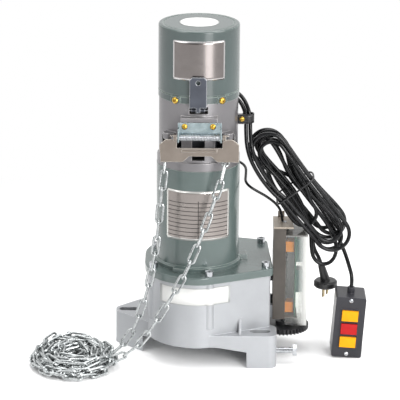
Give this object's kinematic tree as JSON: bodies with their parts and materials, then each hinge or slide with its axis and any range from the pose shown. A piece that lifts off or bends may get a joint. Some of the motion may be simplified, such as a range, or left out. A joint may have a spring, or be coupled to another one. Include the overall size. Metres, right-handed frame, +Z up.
{
  "type": "roller door motor",
  "caption": "Upright roller door motor on a footed gearbox, with hand chain, release lever, limit switch unit, cable hank with plug, and a push button wall switch.",
  "frame": {"origin": "motor axis on the mounting plane under the gearbox feet", "axes": "+Z up the motor axis, +X towards the limit switch unit, -Y towards the hand chain side"},
  "size_m": [0.4016, 0.2257, 0.412],
  "materials": {
    "cast_silver": "silver painted casting, satin",
    "green_grey_paint": "grey green enamel, satin",
    "zinc_sheet": "zinc plated sheet",
    "yellow_zinc": "yellow passivated screws",
    "machined_steel": "turned and cut steel",
    "laminated_steel": "stacked steel sheets",
    "copper_winding": "enamelled copper",
    "chain_steel": "zinc plated wire",
    "black_moulding": "black moulded plastic",
    "dark_moulding": "dark moulded plastic",
    "clear_moulding": "clear moulded cover",
    "grey_moulding": "grey moulded plastic",
    "orange_moulding": "orange nylon",
    "green_board": "coated circuit board",
    "teal_moulding": "teal moulded switch",
    "cable_rubber": "black cable sheath",
    "yellow_button": "yellow moulded button",
    "red_button": "red moulded button",
    "friction_lining": "brake lining",
    "capacitor_can": "white plastic can"
  },
  "bodies": {
    "base": {"gearbox_housing": "cast_silver", "gearbox_cover": "green_grey_paint", "cover_screws": "machined_steel", "motor_tube": "green_grey_paint", "stator_core": "laminated_steel", "stator_winding": "copper_winding", "shaft_bearings": "machined_steel", "chain_housing": "cast_silver", "brake_coil": "dark_moulding", "run_capacitor": "capacitor_can", "top_cap": "green_grey_paint", "cap_screws": "yellow_zinc", "lever_pin": "machined_steel", "guide_bracket": "zinc_sheet", "bracket_screws": "yellow_zinc", "guide_pin": "machined_steel", "guide_spring": "machined_steel", "limit_tray": "dark_moulding", "limit_top_plate": "grey_moulding", "limit_cover": "clear_moulding", "switch_board": "green_board", "limit_switches": "teal_moulding", "limit_posts": "grey_moulding", "cable_clip": "black_moulding", "clip_screw": "yellow_zinc", "supply_cables": "cable_rubber", "cable_hank": "cable_rubber", "hank_tie": "black_moulding", "limit_lead": "cable_rubber", "plug_body": "black_moulding", "plug_pins": "yellow_zinc", "plug_lead": "cable_rubber", "switch_box_body": "black_moulding", "switch_box_front": "black_moulding", "switch_box_screws": "machined_steel", "switch_lead": "cable_rubber", "hand_chain_left": "chain_steel", "hand_chain_right": "chain_steel", "hand_chain_pile": "chain_steel"},
    "rotor": {"rotor_core": "laminated_steel", "rotor_shaft": "machined_steel", "brake_disc": "friction_lining"},
    "counter_gears": {"countershaft": "machined_steel", "first_gear": "machined_steel"},
    "output_drive": {"output_shaft": "machined_steel", "output_gear": "machined_steel", "limit_pinion": "black_moulding", "drive_sprocket": "machined_steel"},
    "limit_drive": {"limit_screw": "machined_steel", "limit_gear": "black_moulding"},
    "chain_wheel": {"hand_chain_wheel": "zinc_sheet"},
    "low_nut": {"limit_nut_low": "orange_moulding"},
    "high_nut": {"limit_nut_high": "orange_moulding"},
    "chain_guide": {"guide_plate": "zinc_sheet"},
    "lever": {"release_lever": "zinc_sheet"},
    "armature": {"brake_armature": "machined_steel"},
    "down_button": {"button_down": "yellow_button"},
    "stop_button": {"button_stop": "red_button"},
    "up_button": {"button_up": "yellow_button"},
    "tension_screw": {"tension_bolt": "machined_steel"}
  },
  "joints": [
    {"name": "rotor_spin", "type": "hinge", "parent": "base", "child": "rotor", "pos_m": [0, 0, 0.17], "axis": [0, 0, 1], "continuous": true},
    {"name": "counter_spin", "type": "hinge", "parent": "base", "child": "counter_gears", "pos_m": [0.00844, 0.03705, 0.08], "axis": [0, 0, 1], "continuous": true},
    {"name": "output_spin", "type": "hinge", "parent": "base", "child": "output_drive", "pos_m": [0.044, 0.012, 0.06], "axis": [0, 0, 1], "continuous": true},
    {"name": "limit_spin", "type": "hinge", "parent": "base", "child": "limit_drive", "pos_m": [0.10546, 0.00985, 0.09], "axis": [0, 0, 1], "continuous": true},
    {"name": "chain_wheel_spin", "type": "hinge", "parent": "base", "child": "chain_wheel", "pos_m": [0, 0, 0.269], "axis": [0, 0, 1], "continuous": true},
    {"name": "low_nut_slide", "type": "slide", "parent": "base", "child": "low_nut", "axis": [0, 0, 1], "range_m": [0, 0.045]},
    {"name": "high_nut_slide", "type": "slide", "parent": "base", "child": "high_nut", "axis": [0, 0, 1], "range_m": [-0.015, 0.01]},
    {"name": "guide_swing", "type": "hinge", "parent": "base", "child": "chain_guide", "pos_m": [0.0015, -0.06, 0.2865], "axis": [-1, 0, 0], "range_deg": [0, 12], "stiffness_Nm_per_rad": 0.2},
    {"name": "lever_swing", "type": "hinge", "parent": "base", "child": "lever", "pos_m": [0, -0.0433, 0.3155], "axis": [1, 0, 0], "range_deg": [0, 20]},
    {"name": "armature_lift", "type": "slide", "parent": "base", "child": "armature", "axis": [0, 0, 1], "range_m": [0, 0.00226], "stiffness_N_per_m": 2500},
    {"name": "down_push", "type": "slide", "parent": "base", "child": "down_button", "axis": [0, 1, 0], "range_m": [0, 0.0025], "stiffness_N_per_m": 500},
    {"name": "stop_push", "type": "slide", "parent": "base", "child": "stop_button", "axis": [0, 1, 0], "range_m": [0, 0.0025], "stiffness_N_per_m": 500},
    {"name": "up_push", "type": "slide", "parent": "base", "child": "up_button", "axis": [0, 1, 0], "range_m": [0, 0.0025], "stiffness_N_per_m": 500},
    {"name": "tension_travel", "type": "slide", "parent": "base", "child": "tension_screw", "axis": [1, 0, 0], "range_m": [-0.012, 0.006]}
  ],
  "couplings": [
    {"joint": "counter_spin", "follows": "rotor_spin", "ratio": -0.26667},
    {"joint": "output_spin", "follows": "rotor_spin", "ratio": 0.10159},
    {"joint": "limit_spin", "follows": "rotor_spin", "ratio": -0.10667},
    {"joint": "lever_swing", "follows": "armature_lift", "rad_per_m": 153.85}
  ]
}
